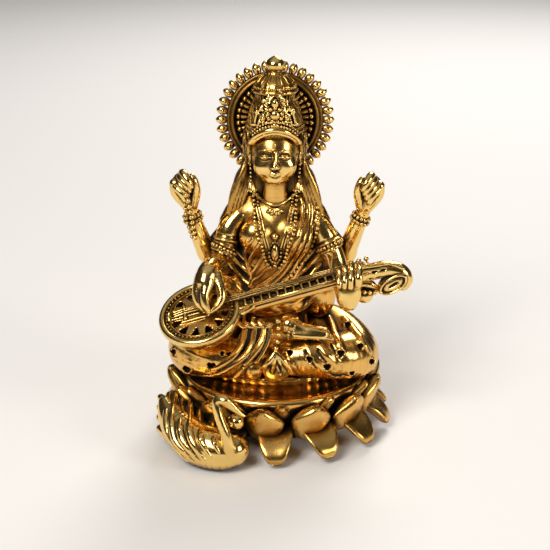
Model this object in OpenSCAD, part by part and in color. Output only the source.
// Seated four-armed goddess with a veena on a lotus base, with a halo and a swan.
// A small cast figurine, built up from separate castings that are pinned, screwed and soldered together.
// Millimetres. +Z is up, the figure faces -Y, and the origin is the centre of the face it stands on.
// "Right" and "left" are the figure's own, so its right side lies towards -X.

/* [Lotus base] */
// Radius of the round platform
platform_r = 20.2; // [19.8:0.1:20.6]
// Height of the platform's rim above the table
platform_z = 12.8; // [12.4:0.1:13.2]
// Petals in each of the three rows
petal_count = 14; // [12:1:14]
// Distance from the axis to the tips of the lower petals
lower_tip_r = 25.4; // [24.9:0.1:25.6]
// Height of the figure's low seat above the platform
seat_h = 1.4; // [1.2:0.1:1.6]

/* [Figure] */
// Radius of the neck
neck_r = 2.9; // [2.7:0.1:3]
// Height of the middle of the head
head_z = 60.4; // [60.2:0.1:60.6]
// Half width of the face
head_rx = 4.9; // [4.7:0.1:5]
// Radius of the upper arms where they leave the shoulders
arm_r = 2.5; // [2.3:0.1:2.6]

/* [Halo] */
// Distance from the halo's centre to the points of its outer beads
halo_r = 12.5; // [12.3:0.1:12.7]
// Number of beads round the halo
halo_bead_count = 36; // [30:1:36]
// How far the halo leans back, in degrees
halo_lean = 6; // [4:1:8]

/* [Veena] */
// Slope of the veena's neck, in degrees
veena_pitch = 14.3; // [14:0.1:14.6]
// Turn of the soundboard from level towards the front, in degrees
veena_roll = 24; // [22:1:30]
// Half the length of the bowl, along the neck
veena_bowl_r = 8.6; // [8.4:0.1:8.8]
// Number of frets
fret_count = 14; // [10:1:16]

/* [Hidden] */
$fn = 64;

GOLD = [0.83, 0.62, 0.27];
DARK_GOLD = [0.55, 0.40, 0.18];
STEEL = [0.60, 0.60, 0.62];

petal_step = 360 / petal_count;
seat_z = platform_z + seat_h;
shoulder_x = 7.9;
neck_y = 2.7;
neck_base = 49;
neck_top = 55.4;
veil_y = 4.4;
core_top = platform_z - 2;
core_r = 18.6;
core_foot_r = 9;
core_flare = 3.8;
lower_droop = 38;
pin_r = 1.5;
pin_hole_r = 1.55;
pin_foot = 3;
pin_top = 22;
halo_at = [0, 8.6, 65.4];
halo_band_r = halo_r - 2.55;
halo_t = 1.5;
halo_stem_w = 5;
halo_stem_l = 20.5;
halo_stem_t = 1.4;
veena_at = [-15.6, -12.6, 29.6];
veena_yaw = 5.8;
crown_y = 2.2;
crown_base = 65;
crown_top = 72.6;
cut = 100;

// Control points of the sculpted limbs: [x, y, z, radius].
SWAN_BODY = [
    [-24, -12.5, 9.6, 0.7], [-22.6, -14.8, 8.3, 2.2], [-19.6, -18.3, 6.2, 3.7],
    [-15.6, -22.2, 4.7, 4.5], [-11.6, -24.2, 4.3, 4.2], [-8.8, -24.4, 4.3, 3.4],
];
SWAN_NECK = [
    [-9.1, -27.4, 5, 1.2], [-9.3, -27.6, 6.6, 1.2], [-9.8, -27.4, 8.8, 1.15], [-10.7, -27, 11.4, 1],
    [-11.5, -26.4, 14, 0.95], [-11.6, -25.9, 15.6, 1], [-10.8, -25.8, 16.2, 1.1], [-9.6, -25.9, 15.8, 1.1],
    [-8.3, -26.1, 14.6, 0.8], [-7.1, -26.3, 13.5, 0.5], [-6.2, -26.4, 12.9, 0.3],
];
SWAN_WING = [
    [-23.2, -17.4, 10.6, 0.6], [-20.6, -21, 9.2, 1.5], [-16.8, -24.2, 7.6, 1.7], [-13.6, -26.6, 5.6, 1.3],
    [-11.6, -27.8, 4, 0.6],
];
RIGHT_LEG = [
    [-7.5, 7, 19.8, 5.6], [-13.5, 3.4, 19, 5.9], [-17.3, -2.4, 17.8, 5.8], [-14.8, -7.2, 17.9, 5],
    [-8.6, -8.8, 18, 4.3], [-4.4, -9, 17.8, 3.7],
];
LEFT_LEG = [
    [7.5, 7, 19.5, 5.6], [13, 3.4, 18.6, 5.9], [16.5, -2.6, 16.6, 6], [14.6, -7, 17.2, 5.3],
    [8.8, -8.6, 18.2, 4.6], [4, -9, 18, 3.8],
];
FOOT = [[3, -9.4, 25.6, 2.1], [5.4, -10, 24.8, 1.6], [8, -10.5, 24.5, 1.4], [10.8, -10.9, 24, 1]];
RIGHT_FRONT_ARM = [
    [-8.6, 1.8, 45.2, arm_r], [-10.2, 0.6, 41, 2.3], [-11.6, -0.6, 37.6, 2], [-12.6, -3.4, 36.3, 1.9],
    [-13.6, -6.4, 36.6, 1.8],
];
LEFT_FRONT_ARM = [
    [9, 1.8, 45, arm_r], [11.2, 0.8, 41, 2.4], [13, 0, 36.6, 2.1], [14.4, -2, 32.6, 1.9], [15, -5, 31, 1.8],
];
RIGHT_REAR_ARM = [
    [-9.6, 4.4, 43.4, 2.2], [-12.4, 4.4, 39.4, 2.1], [-14.4, 3.6, 37.2, 2], [-15.9, 2.8, 40.4, 1.8],
    [-17.4, 2.2, 45.6, 1.5],
];
LEFT_REAR_ARM = [
    [9.8, 4.4, 43.4, 2.2], [12.8, 4.4, 39.2, 2.1], [15.3, 3.6, 37, 2], [16.6, 2.8, 40.2, 1.8],
    [18.2, 2.2, 45.6, 1.5],
];
VEENA_SCROLL = [
    [20, -9.2, 37.6, 1.8], [23.2, -9, 37.8, 2], [26.1, -9, 36.4, 1.9], [26, -9, 33.6, 1.9],
    [23.4, -9, 33.1, 1.5],
];

// Rings of the torso: [z, centre y, half width, half depth].
TORSO = [
    [24, 4.6, 8.2, 5.6], [27.5, 4, 7.8, 4.9], [31, 3.2, 7.9, 4.9], [35, 2.3, 8.4, 5.8], [38.5, 1.8, 8.8, 6.4],
    [42, 2, 8.9, 5.9], [45, 2.6, 8.6, 4.9], [47.4, 3, 6.8, 3.9], [49, 2.7, 3.8, 3.2],
];
// Rings of the head, from its middle: [height, y, share of the half width, half depth].
HEAD = [
    [-6.2, -2.1, 0.36, 0.9], [-5.6, -1.8, 0.52, 2.2], [-4.2, -0.9, 0.74, 3.6], [-2, -0.2, 0.93, 4.7],
    [0.4, 0, 1, 5.2], [2.6, 0, 0.98, 5.1], [4.6, 0.2, 0.86, 4.4], [5.8, 0.3, 0.66, 3.4],
];
// Rings of the covered hair, listed like the torso's.
VEIL = [[49.2, 5.4, 5.4, 2.2], [53, 4.8, 6, 2.6], [57, 4.2, 6.2, 3], [61, 3.6, 6.1, 3.4], [65, 3, 5.5, 3.8]];
// The band of the sari across the chest: [degrees round from the front, height, half width].
DRAPE = [
    [78, 47.6, 1.6], [62, 45.4, 2], [42, 41, 2.5], [20, 36.6, 2.6], [-4, 32, 2.4], [-34, 27.6, 1.8],
];

// ---------------------------------------------------------------- curves and sculpted solids

// A point on the Catmull-Rom curve through p[i] and p[i + 1], t from 0 to 1.
function between(p, i, t) =
    let(a = p[max(i - 1, 0)], b = p[i], c = p[i + 1], d = p[min(i + 2, len(p) - 1)])
    0.5 * ((2 * b) + (c - a) * t + (2 * a - 5 * b + 4 * c - d) * t * t + (3 * b - a - 3 * c + d) * t * t * t);

// The smooth curve through p, with n points for each stretch.
function curve(p, n) = [
    for (i = [0:len(p) - 2], k = [0:n - 1]) between(p, i, k / n),
    p[len(p) - 1],
];

function xyz(p) = [p[0], p[1], p[2]];
function unit(v) = v / norm(v);

// One ring of a limb: sides points round c, at radius r across the direction t.
function ring(c, t, r, sides) =
    let(u = unit(cross(t, abs(t[2]) > 0.9 * norm(t) ? [0, 1, 0] : [0, 0, 1])), v = unit(cross(u, t)))
    [for (k = [0:sides - 1]) c + r * (cos(360 * k / sides) * u + sin(360 * k / sides) * v)];

// A closed skin over rings of equal size, listed from the bottom up.
module skin(rings) {
    sides = len(rings[0]);
    last = (len(rings) - 1) * sides;
    polyhedron(
        points = [for (r = rings) each r],
        faces = [
            [for (k = [0:sides - 1]) k],
            for (i = [0:len(rings) - 2], k = [0:sides - 1])
                let(a = i * sides + k, b = i * sides + (k + 1) % sides)
                each [[a, a + sides, b], [b, a + sides, b + sides]],
            [for (k = [0:sides - 1]) last + sides - 1 - k],
        ]
    );
}

// A round limb along control points, with domed ends.
module limb(points, steps = 3, sides = 10) {
    path = curve(points, steps);
    n = len(path) - 1;
    start = unit(xyz(path[0]) - xyz(path[1]));
    finish = unit(xyz(path[n]) - xyz(path[n - 1]));
    skin([
        for (a = [80, 50, 25])
            ring(xyz(path[0]) + start * path[0][3] * sin(a), -start, path[0][3] * cos(a), sides),
        for (i = [0:n])
            ring(xyz(path[i]), xyz(path[min(i + 1, n)]) - xyz(path[max(i - 1, 0)]), path[i][3], sides),
        for (a = [25, 50, 80])
            ring(xyz(path[n]) + finish * path[n][3] * sin(a), finish, path[n][3] * cos(a), sides),
    ]);
}

// An upright solid through oval rings [z, centre y, half width, half depth].
module loft(rings, steps = 2, sides = 20) {
    skin([
        for (r = curve(rings, steps)) [
            for (k = [0:sides - 1]) let(a = -360 * k / sides) [r[2] * cos(a), r[1] + r[3] * sin(a), r[0]],
        ],
    ]);
}

// Separate balls of radius r along a smooth curve, gap apart.
module bead_string(points, r, gap = 0.12) {
    path = curve(points, 12);
    steps = [for (i = [1:len(path) - 1]) norm(path[i] - path[i - 1])];
    run = [for (s = 0, i = 0; i <= len(steps); s = s + (i < len(steps) ? steps[i] : 0), i = i + 1) s];
    total = run[len(run) - 1];
    count = floor(total / (2 * r + gap));
    for (b = [0:count]) {
        want = min(b * total / count, total - 0.001);
        i = max([for (k = [0:len(run) - 2]) run[k] <= want ? k : 0]);
        t = (want - run[i]) / max(run[i + 1] - run[i], 0.001);
        translate(path[i] * (1 - t) + path[i + 1] * t) sphere(r);
    }
}

// A pointed oval, 2 * half_l long in Y and 2 * half_w wide, from two arcs.
module pointed_oval(half_l, half_w) {
    r = (half_l * half_l + half_w * half_w) / (2 * half_w);
    intersection() {
        translate([r - half_w, 0]) circle(r);
        translate([half_w - r, 0]) circle(r);
    }
}

// A lemon-shaped bead lying along X.
module lemon(half_l, half_w, bands = 6) {
    rotate([0, 90, 0]) rotate_extrude()
        polygon([for (i = [0:bands]) [half_w * sin(180 * i / bands), -half_l * cos(180 * i / bands)]]);
}

// A round rod from a to b, r1 thick at a and r2 at b.
module rod(a, b, r1, r2) {
    d = b - a;
    translate(a) rotate([0, acos(d[2] / norm(d)), atan2(d[1], d[0])]) cylinder(r1 = r1, r2 = r2, h = norm(d));
}

// A chain of stretched balls [x, y, z, radius], each hulled to the next.
module sausage(balls) {
    for (i = [0:len(balls) - 2])
        hull() for (b = [balls[i], balls[i + 1]]) translate(xyz(b)) sphere(b[3], $fn = 10);
}

// A curved leaf of thickness t: its middle line runs along +Y from the origin, and it bulges to +Z.
module leaf(length, half_w, t, bulge_r) {
    intersection() {
        translate([0, length / 2, -bulge_r]) linear_extrude(2 * bulge_r) pointed_oval(length / 2, half_w);
        translate([0, length / 2, t - bulge_r]) difference() {
            sphere(bulge_r);
            translate([0, 0, -t]) sphere(bulge_r);
        }
    }
}

// ---------------------------------------------------------------- lotus base and swan

module base_core() {
    color(DARK_GOLD) difference() {
        rotate_extrude() polygon([
            [0, 0], [core_foot_r, 0], [core_r, core_flare], [core_r - 1, 6], [core_r, core_top], [0, core_top],
        ]);
        translate([0, 0, pin_foot - 0.2]) cylinder(r = pin_hole_r, h = core_top);
    }
}

// The hidden dowel that holds the figure on its base.
module base_pin() {
    color(STEEL) rotate_extrude() polygon([
        [0, pin_foot], [pin_r - 0.3, pin_foot], [pin_r, pin_foot + 0.3], [pin_r, pin_top - 0.3],
        [pin_r - 0.3, pin_top], [0, pin_top],
    ]);
}

module platform() {
    color(GOLD) difference() {
        rotate_extrude() polygon([
            [0, core_top], [platform_r - 0.8, core_top], [platform_r, core_top + 0.6],
            [platform_r, platform_z - 0.2], [platform_r - 0.3, platform_z], [platform_r - 0.9, platform_z],
            [platform_r - 1.2, platform_z - 0.5], [0, platform_z - 0.5],
        ]);
        cylinder(r = pin_hole_r, h = seat_z);
    }
}

// Petals of one row. rise is the leaf's slope above level, root_z the height where it leaves the core.
module petal_row(turn, root_r, root_z, rise, length, half_w, bulge_r) {
    for (k = [0:petal_count - 1]) rotate([0, 0, turn + k * petal_step]) translate([0, -root_r, root_z])
        rotate([180 - rise, 0, 0]) mirror([0, 0, 1]) leaf(length, half_w, 1.1, bulge_r);
}

module petals_lower() {
    root_r = core_r + 0.1;
    color(GOLD) petal_row(0, root_r, 6.3, -lower_droop, (lower_tip_r - root_r) / cos(lower_droop), 3.8, 7);
}

module petals_middle() {
    color(GOLD) petal_row(-6.5, core_r + 0.3, 4.2, 66, 9.6, 4.5, 9);
}

module petals_upper() {
    color(GOLD) petal_row(6.9, core_r + 2, 8, 78, 4.8, 1.3, 6);
}

module seat_plate() {
    color(GOLD) difference() {
        intersection() {
            translate([0, 0, platform_z - 0.5]) cylinder(r = platform_r - 1.3, h = seat_h + 0.5);
            translate([0, 19.4, platform_z - 0.5]) cylinder(r = 30, h = seat_h + 0.5);
        }
        cylinder(r = pin_hole_r, h = seat_z + 1);
    }
}

module swan_body() {
    color(GOLD) limb(SWAN_BODY, sides = 16);
}

module swan_neck() {
    color(GOLD) limb(SWAN_NECK, steps = 2);
}

module swan_wing() {
    color(DARK_GOLD) limb(SWAN_WING);
}

// ---------------------------------------------------------------- figure

module hips_form() {
    translate([0, 4.6, seat_z]) cylinder(r = 8.6, h = TORSO[0][0] - seat_z);
}

module hips() {
    color(GOLD) difference() {
        hips_form();
        cylinder(r = pin_hole_r, h = pin_top + 0.2);
    }
}

module right_leg() {
    color(GOLD) difference() {
        limb(RIGHT_LEG, sides = 16);
        hips_form();
        translate([-cut / 2, -cut / 2, seat_z - cut]) cube(cut);
    }
}

module left_leg() {
    color(GOLD) difference() {
        limb(LEFT_LEG, sides = 16);
        hips_form();
        translate([-cut / 2, -cut / 2, seat_z - cut]) cube(cut);
    }
}

module foot() {
    color(GOLD) limb(FOOT);
}

// The sari's fan of folds, which hangs over the lap to the seat.
module pleats() {
    color(GOLD) for (k = [0:4])
        rod([-11 + 1.7 * k, -13.4 - 0.1 * k, seat_z], [-6.6 + 1.2 * k, -12.2, 23.2 + 0.3 * k], 0.8, 0.65);
}

module girdle_tassel() {
    color(GOLD) {
        bead_string([[0.4, -12.3, 23.6], [0.5, -13, 21.4], [0.3, -13.5, 19]], 0.5);
        for (a = [-28, 0, 28]) translate([0.2, -13.6, 18.2]) rotate([90, 0, 180]) rotate([0, 0, a])
            translate([0, -3, 0]) linear_extrude(0.6) pointed_oval(1.9, 0.55);
    }
}

// The half width (2), half depth (3) or centre (1) of the torso at height z.
function torso_at(z, what) = lookup(z, [for (r = TORSO) [r[0], r[what]]]);

// A point lift above the torso's skin, at height z and a degrees round from the front towards the left arm.
function on_torso(a, z, lift) =
    [(torso_at(z, 2) + lift) * sin(a), torso_at(z, 1) - (torso_at(z, 3) + lift) * cos(a), z];

module torso() {
    color(GOLD) intersection() {
        loft(TORSO);
        cube([2 * shoulder_x, cut, cut], center = true);
    }
}

// A flat band on an upright body whose axis is at y = axis_y, along control points [x, y, z, half width].
module strap(points, t, axis_y, steps = 3) {
    path = curve(points, steps);
    n = len(path) - 1;
    skin([
        for (i = [0:n])
            let(
                c = xyz(path[i]),
                along = unit(xyz(path[min(i + 1, n)]) - xyz(path[max(i - 1, 0)])),
                out = unit([c[0], c[1] - axis_y, 0]),
                across = unit(cross(along, out)),
                w = path[i][3]
            )
            [c - across * w, c - across * w + out * t, c + out * 1.3 * t, c + across * w + out * t, c + across * w],
    ]);
}

// The end of the sari, over the left shoulder and across the chest.
module drape() {
    color(GOLD) strap([for (d = DRAPE) concat(on_torso(d[0], d[1], 0.1), d[2])], 0.9, 2.5);
}

module neck() {
    color(GOLD) translate([0, neck_y, neck_base]) cylinder(r = neck_r, h = neck_top - neck_base);
}

module head() {
    color(GOLD) difference() {
        loft([for (h = HEAD) [head_z + h[0], 1.6 + h[1], head_rx * h[2], h[3]]]);
        translate([0, neck_y, neck_base]) cylinder(r = neck_r, h = neck_top - neck_base);
        translate([0, 0, crown_base + cut / 2]) cube(cut, center = true);
        translate([0, veil_y + cut / 2, 0]) cube([cut, cut, 2 * cut], center = true);
    }
}

// The covered hair at the back of the head.
module veil() {
    color(DARK_GOLD) intersection() {
        loft(VEIL);
        translate([0, veil_y + cut / 2, 0]) cube([cut, cut, 2 * cut], center = true);
    }
}

module hair_locks() {
    color(DARK_GOLD) for (s = [-1, 1]) limb([
        [6.2 * s, 2.4, 56.6, 1], [6.8 * s, 1.4, 52.8, 1.4],
        [8.2 * s, 0.9, 49.4, 1.3], [9.1 * s, 0.6, 47.8, 0.6],
    ], sides = 8);
}

// ---------------------------------------------------------------- crown and halo

module crown_band() {
    color(GOLD) translate([0, crown_y, 0]) rotate_extrude() polygon([
        [0, crown_base], [5.5, crown_base], [5.7, 66], [5.6, 67.4], [5.2, 69], [4.7, 70.4], [4.2, 71.6],
        [3.9, crown_top], [0, crown_top],
    ]);
}

module diadem() {
    color(GOLD) translate([0, crown_y, 0]) intersection() {
        difference() {
            cylinder(r = 6.6, h = cut);
            cylinder(r = 5.8, h = cut);
        }
        rotate([90, 0, 0]) linear_extrude(10) {
            translate([-5.6, crown_base]) square([11.2, 2]);
            translate([0, crown_base + 4.6]) pointed_oval(4.4, 2.6);
            for (side = [-1, 1]) translate([3.3 * side, crown_base + 2.8]) pointed_oval(3.2, 1.9);
        }
    }
}

module crown_rosette() {
    color(GOLD) translate([0, crown_y - 6.6, 68.4]) rotate([90, 0, 0]) {
        cylinder(r = 1.1, h = 1);
        for (k = [0:7]) rotate(45 * k) translate([1.6, 0, 0.35]) sphere(0.42);
    }
}

module crown_canopy() {
    color(GOLD) translate([0, crown_y, 72.6]) rotate_extrude() polygon([
        [0, 0], [4.7, 0], [5, 0.4], [4.8, 1], [4.2, 1.9], [3.3, 2.8], [2.3, 3.5], [1.5, 3.9], [0, 3.9],
    ]);
}

module crown_finial() {
    color(GOLD) translate([0, crown_y, 76.5]) rotate_extrude() polygon([
        [0, 0], [1.2, 0], [1.2, 0.5], [1.8, 1], [1.9, 1.6], [1.6, 2.3], [0.9, 3], [0.4, 3.5], [0, 3.7],
    ]);
}

// Puts a child, drawn in XY round the halo's centre with +Z to the front, where the halo stands.
module at_halo() {
    translate(halo_at) rotate([90 - halo_lean, 0, 0]) children();
}

module halo_disc() {
    color(DARK_GOLD) at_halo() rotate_extrude() polygon([
        [0, -halo_t / 2], [halo_band_r, -halo_t / 2], [halo_band_r, halo_t / 2],
        [halo_band_r - 0.3, halo_t / 2 + 0.2], [halo_band_r - 0.6, halo_t / 2 - 0.2],
        [halo_band_r - 1, halo_t / 2 - 0.2], [halo_band_r - 1.3, halo_t / 2 + 0.3],
        [halo_band_r - 1.6, halo_t / 2], [halo_band_r - 1.7, 0], [0, 0],
    ]);
}

module halo_beads() {
    color(GOLD) at_halo() for (k = [0:halo_bead_count - 1]) rotate(360 * k / halo_bead_count)
        translate([halo_r - 1.27, 0, 0]) lemon(1.25, 0.9);
}

module halo_rays() {
    color(GOLD) at_halo() for (k = [0:halo_bead_count - 1]) rotate(360 * (k + 0.5) / halo_bead_count)
        translate([halo_band_r - 2.9, 0, 0.05]) intersection() {
            lemon(1.1, 0.5);
            translate([-2, -2, 0]) cube(4);
        }
}

// The stem that carries the halo, soldered to the back of the shoulders.
module halo_strut() {
    color(DARK_GOLD) at_halo() translate([-halo_stem_w / 2, -halo_stem_l, -halo_t / 2 - halo_stem_t])
        cube([halo_stem_w, halo_stem_l, halo_stem_t]);
}

// ---------------------------------------------------------------- arms and hands

// Keeps what lies beyond the shoulder face on one side.
module outside_shoulder(side) {
    intersection() {
        children();
        translate([side * (shoulder_x + cut / 2), 0, 0]) cube(cut, center = true);
    }
}

module right_front_arm() {
    color(GOLD) outside_shoulder(-1) limb(RIGHT_FRONT_ARM);
}

// The thumb and first finger meet in a ring over the strings, and the other fingers hang beside it.
module right_front_hand() {
    color(GOLD) union() {
        sausage([[-13.6, -8.2, 36.8, 1.7], [-14.2, -10.8, 36, 2.2], [-14.8, -12.4, 34, 1.8]]);
        sausage([
            [-12.6, -11.4, 35.4, 1], [-11.2, -13.2, 33.2, 0.9],
            [-11.4, -14.4, 31.2, 0.75], [-12.8, -14.9, 29.9, 0.6],
        ]);
        sausage([[-14, -13, 34.4, 1], [-14.3, -14.4, 31.8, 0.8], [-13.6, -14.9, 29.9, 0.6]]);
        sausage([[-15.8, -12.6, 34.2, 1], [-16.1, -14, 31.6, 0.85], [-15.4, -14.6, 29.8, 0.6]]);
    }
}

module left_front_arm() {
    color(GOLD) outside_shoulder(1) limb(LEFT_FRONT_ARM);
}

// The hand stands in front of the veena's neck, and four fingers close over the top of it.
module left_front_hand() {
    color(GOLD) union() {
        sausage([[15, -7.4, 30.2, 1.7], [15.1, -11, 30.8, 2], [15.2, -13, 33, 1.9], [15.2, -13.4, 36, 1.7]]);
        for (k = [0:3]) translate([13.2 + 1.35 * k, -13.2, 37.4 + 0.35 * k])
            sausage([[0, 0, -0.8, 0.75], [0, 1.2, 1.4, 0.7], [0, 3.8, 1.8, 0.6]]);
    }
}

module right_rear_arm() {
    color(GOLD) outside_shoulder(-1) limb(RIGHT_REAR_ARM);
}

// A loosely closed fist at the end of a wrist. side is 1 for the left hand and -1 for the right.
module fist(at, side) {
    translate(at) union() {
        sausage([[0, 0, 0, 1.6], [1 * side, -0.2, 3, 2], [1.6 * side, -0.2, 5.4, 1.9]]);
        for (k = [0:3]) translate([(2.6 - 0.9 * k) * side, 0, 6.4 + 0.3 * k - 0.5 * abs(k - 2)])
            sausage([[0, 0, -0.4, 0.8], [-0.2 * side, -1.9, 0, 0.75], [-0.6 * side, -2.4, -1.5, 0.65]]);
        sausage([[0.4 * side, -1.2, 3, 0.8], [-0.8 * side, -2.2, 4.6, 0.65]]);
    }
}

module right_rear_hand() {
    color(GOLD) fist([-17.8, 2, 47.6], -1);
}

module left_rear_arm() {
    color(GOLD) outside_shoulder(1) limb(LEFT_REAR_ARM);
}

module left_rear_hand() {
    color(GOLD) fist([18.7, 2, 47], 1);
}

// ---------------------------------------------------------------- jewellery

module collar() {
    color(GOLD) bead_string([for (a = [-60:20:60]) on_torso(a, 46.6 + 0.9 * (1 - cos(a)) * 2, 0.5)], 0.45);
}

module long_chain() {
    color(GOLD) for (s = [-1, 1]) limb(
        [for (k = [0:3]) concat(on_torso(s * (34 - 8 * k), 46 - 2.8 * k, 0.4), 0.4)], steps = 2, sides = 8
    );
}

module bead_necklace() {
    color(GOLD) for (s = [-1, 1])
        bead_string([for (k = [0:4]) on_torso(s * (46 - 9.3 * k), 46.4 - 3 * k, 0.5)], 0.5);
}

module shoulder_beads() {
    color(GOLD) bead_string([for (k = [0:4]) on_torso(72 - 11 * k, 45.6 - 3.2 * k, 1.5)], 0.5);
}

module pendant() {
    color(GOLD) {
        translate(on_torso(0, 41.6, 0.9)) sphere(0.75);
        translate(on_torso(0, 38.4, 0.9)) rotate([0, 90, 0]) lemon(2.1, 1);
    }
}

module earrings() {
    color(GOLD) for (s = [-1, 1]) {
        bead_string([[5.4 * s, 0.2, 57], [5.5 * s, 0, 53.6]], 0.4);
        translate([5.5 * s, 0, 52]) sphere(0.95);
    }
}

// A ring of beads of radius bead_r round a limb at p, whose direction is given by turning +Z by turn.
module cuff(p, turn, r, bead_r) {
    n = floor(180 / asin((bead_r + 0.04) / r));
    translate(p) rotate(turn) for (k = [0:n - 1]) rotate(360 * k / n) translate([r, 0, 0]) sphere(bead_r);
}

module armlets() {
    color(GOLD) {
        cuff([-10.9, 0, 39.4], [14, -18, 0], 2.8, 0.5);
        cuff([12.1, 0.4, 38.8], [12, 24, 0], 2.9, 0.5);
    }
}

module bracelets() {
    color(GOLD) for (z = [45.2, 46.4]) {
        cuff([-17.6 + 0.25 * (46.4 - z), 2.1, z], [0, -14, 0], 2.05, 0.42);
        cuff([18.5 - 0.25 * (46.4 - z), 2.1, z], [0, 14, 0], 2.05, 0.42);
    }
}

module rosary() {
    color(GOLD) bead_string([
        [-18.4, -1.6, 50.6], [-18, -1.4, 48.6], [-17.6, -0.6, 46], [-17.2, -0.2, 43.4], [-17, 0.4, 40.8],
    ], 0.58);
}

module anklet() {
    color(GOLD) cuff([4.2, -9.5, 24.7], [0, 90, -10], 2.1, 0.4);
}

// ---------------------------------------------------------------- veena

// Places a child drawn in the veena's own frame: X along the neck, +Z out of the soundboard.
module at_veena() {
    translate(veena_at) rotate([0, 0, veena_yaw]) rotate([0, -veena_pitch, 0])
        rotate([veena_roll, 0, 0]) children();
}

veena_neck_start = veena_bowl_r - 0.6;
veena_neck_end = 36.4;
veena_neck_w = 3.6;

module veena_bowl() {
    color(GOLD) at_veena() rotate_extrude() polygon([
        [0, -4.6], [3, -4.3], [5.4, -3.5], [7.4, -2.3], [veena_bowl_r - 0.2, -1.4], [veena_bowl_r, -0.8],
        [veena_bowl_r, 0.2], [veena_bowl_r - 0.3, 0.5], [veena_bowl_r - 0.7, 0.5],
        [veena_bowl_r - 1, 0], [0, 0],
    ]);
}

module veena_soundboard() {
    color(DARK_GOLD) at_veena() difference() {
        cylinder(r = veena_bowl_r - 1.1, h = 0.6);
        for (k = [0:7]) rotate(45 * k + 22) translate([4.8 - 0.5 * (k % 2), 0, -1]) cylinder(r = 0.6, h = 3);
    }
}

module veena_bridge() {
    color(GOLD) at_veena() translate([-3.4, -1.5, 0.6]) cube([1, 3, 1.1]);
}

module veena_neck() {
    color(GOLD) at_veena() translate([veena_neck_start + 0.4, -veena_neck_w / 2, -1.9])
        cube([veena_neck_end - veena_neck_start - 0.4, veena_neck_w, 1.9]);
}

module veena_frets() {
    pitch = (veena_neck_end - 10 - veena_neck_start) / fret_count;
    color(GOLD) at_veena() {
        for (y = [-veena_neck_w / 2, veena_neck_w / 2 - 1.5]) translate([veena_neck_start + 1, y, 0])
            cube([veena_neck_end - veena_neck_start - 1, 0.5, 0.8]);
        for (k = [0:fret_count - 1]) translate([veena_neck_start + 2 + k * pitch, -veena_neck_w / 2 + 0.5, 0])
            cube([0.6, 1.6, 0.7]);
    }
}

module veena_strings() {
    color(GOLD) at_veena() for (y = [0.7, 1.4])
        translate([-3, y, 1.5]) rotate([0, 90, 0]) cylinder(r = 0.18, h = 38);
}

module veena_scroll() {
    color(GOLD) limb(VEENA_SCROLL, sides = 12);
}

module veena_gourd() {
    color(GOLD) translate([18.2, -8.4, 32.6]) sphere(2.1);
}

module veena_pegs() {
    color(GOLD) at_veena() for (k = [0:2])
        translate([33.4 + 1.6 * k, veena_neck_w / 2, -0.9]) rotate([-90, 0, 0]) {
            cylinder(r = 0.3, h = 1.4);
            translate([0, 0, 1.6]) sphere(0.55);
        }
}

base_core();
base_pin();
platform();
petals_lower();
petals_middle();
petals_upper();
seat_plate();
swan_body();
swan_neck();
swan_wing();
hips();
right_leg();
left_leg();
foot();
pleats();
girdle_tassel();
torso();
drape();
neck();
head();
veil();
hair_locks();
crown_band();
diadem();
crown_rosette();
crown_canopy();
crown_finial();
halo_disc();
halo_beads();
halo_rays();
halo_strut();
right_front_arm();
right_front_hand();
left_front_arm();
left_front_hand();
right_rear_arm();
right_rear_hand();
left_rear_arm();
left_rear_hand();
collar();
long_chain();
bead_necklace();
shoulder_beads();
pendant();
earrings();
armlets();
bracelets();
rosary();
anklet();
veena_bowl();
veena_soundboard();
veena_bridge();
veena_neck();
veena_frets();
veena_strings();
veena_scroll();
veena_gourd();
veena_pegs();
